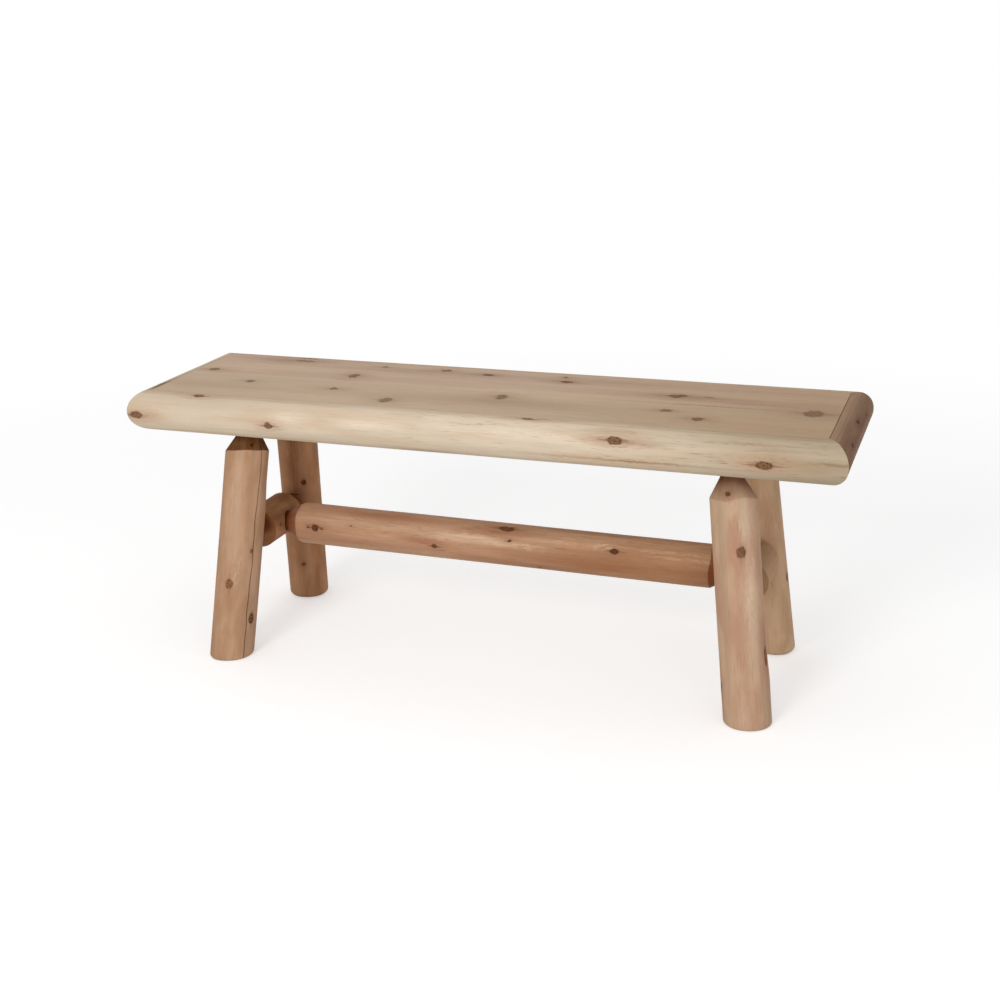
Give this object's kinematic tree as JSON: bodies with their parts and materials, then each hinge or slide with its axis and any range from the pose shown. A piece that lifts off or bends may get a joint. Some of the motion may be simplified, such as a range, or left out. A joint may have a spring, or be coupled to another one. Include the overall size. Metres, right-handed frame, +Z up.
{
  "type": "log bench",
  "caption": "Backless rustic bench: a flat plank seat framed by half-log rails, on splayed round log legs tied by log stretchers.",
  "frame": {"origin": "on the floor, under the middle of the seat", "axes": "+X along the seat towards its right end, +Y towards the back edge, +Z up"},
  "size_m": [1.22, 0.3764, 0.4775],
  "materials": {
    "peeled_rail_cedar": "peeled and sanded, unfinished",
    "sawn_plank_cedar": "planed, unfinished",
    "peeled_leg_cedar": "peeled and sanded, unfinished",
    "peeled_stretcher_cedar": "peeled and sanded, unfinished",
    "sawn_bearer_cedar": "sawn",
    "dowel_hardwood": "smooth",
    "screw_steel": "zinc plated"
  },
  "bodies": {
    "root": {"front_rail": "peeled_rail_cedar", "back_rail": "peeled_rail_cedar", "left_end_rail": "peeled_rail_cedar", "right_end_rail": "peeled_rail_cedar", "front_plank": "sawn_plank_cedar", "back_plank": "sawn_plank_cedar", "front_left_leg": "peeled_leg_cedar", "front_right_leg": "peeled_leg_cedar", "back_left_leg": "peeled_leg_cedar", "back_right_leg": "peeled_leg_cedar", "left_end_stretcher": "peeled_stretcher_cedar", "right_end_stretcher": "peeled_stretcher_cedar", "long_stretcher": "peeled_stretcher_cedar", "left_bearer": "sawn_bearer_cedar", "right_bearer": "sawn_bearer_cedar", "front_rail_dowels": "dowel_hardwood", "back_rail_dowels": "dowel_hardwood", "left_end_rail_dowels": "dowel_hardwood", "right_end_rail_dowels": "dowel_hardwood", "plank_dowels": "dowel_hardwood", "mitre_dowels": "dowel_hardwood", "left_bearer_screws": "screw_steel", "right_bearer_screws": "screw_steel", "front_left_tenon_screw": "screw_steel", "front_right_tenon_screw": "screw_steel", "back_left_tenon_screw": "screw_steel", "back_right_tenon_screw": "screw_steel"}
  },
  "joints": []
}
